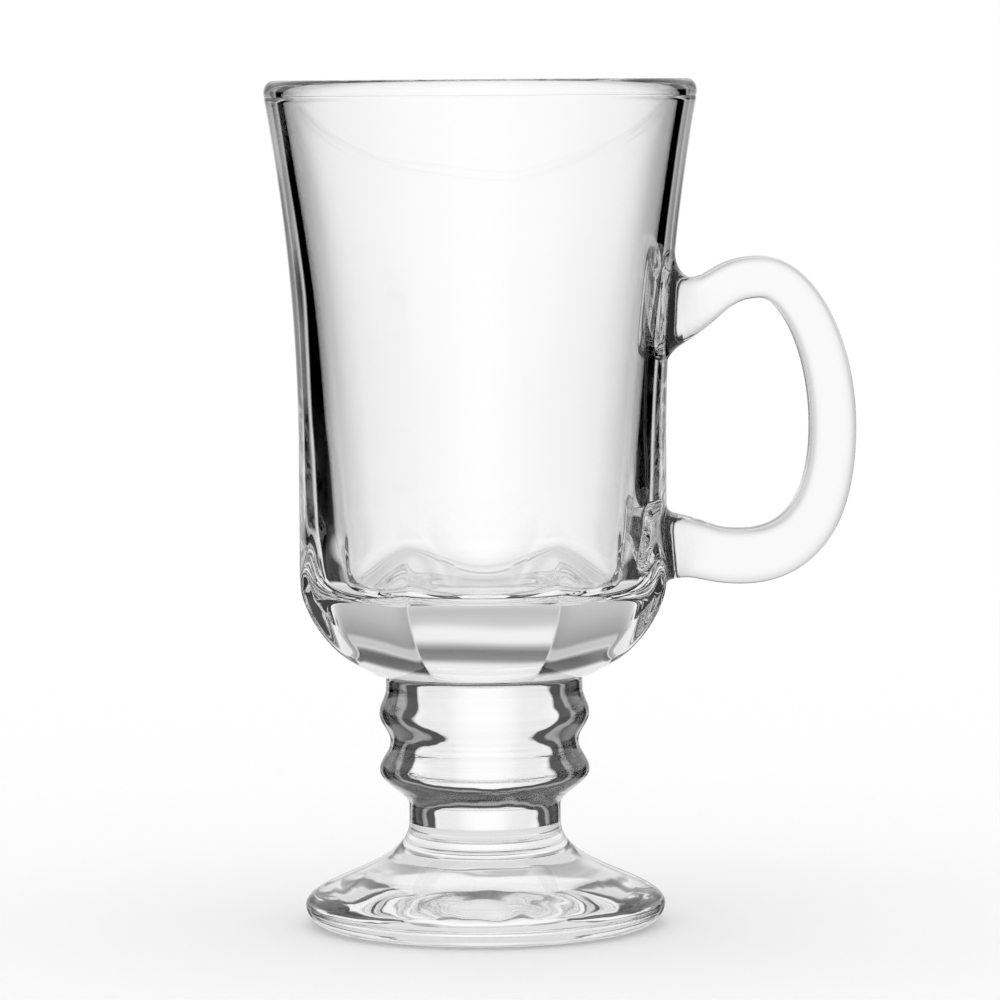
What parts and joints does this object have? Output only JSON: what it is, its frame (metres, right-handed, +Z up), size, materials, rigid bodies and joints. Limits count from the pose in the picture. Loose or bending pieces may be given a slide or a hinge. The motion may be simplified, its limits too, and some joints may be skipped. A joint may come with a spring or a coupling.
{
  "type": "coffee mug",
  "caption": "Footed coffee mug of clear pressed glass: flared bowl with eight facets round its belly, knopped stem, trumpet foot and looped side handle.",
  "frame": {"origin": "on the axis of the bowl, stem and foot, at the level of the table that the foot stands on", "axes": "+Z up along that axis to the rim, +X from the axis to the handle, +Y to the back"},
  "size_m": [0.1023, 0.075, 0.147],
  "materials": {
    "clear_glass": "clear, colourless soda-lime glass, fire-polished, with the faint waviness of pressed ware"
  },
  "bodies": {
    "root": {"bowl": "clear_glass", "stem": "clear_glass", "foot": "clear_glass", "handle": "clear_glass"}
  },
  "joints": []
}
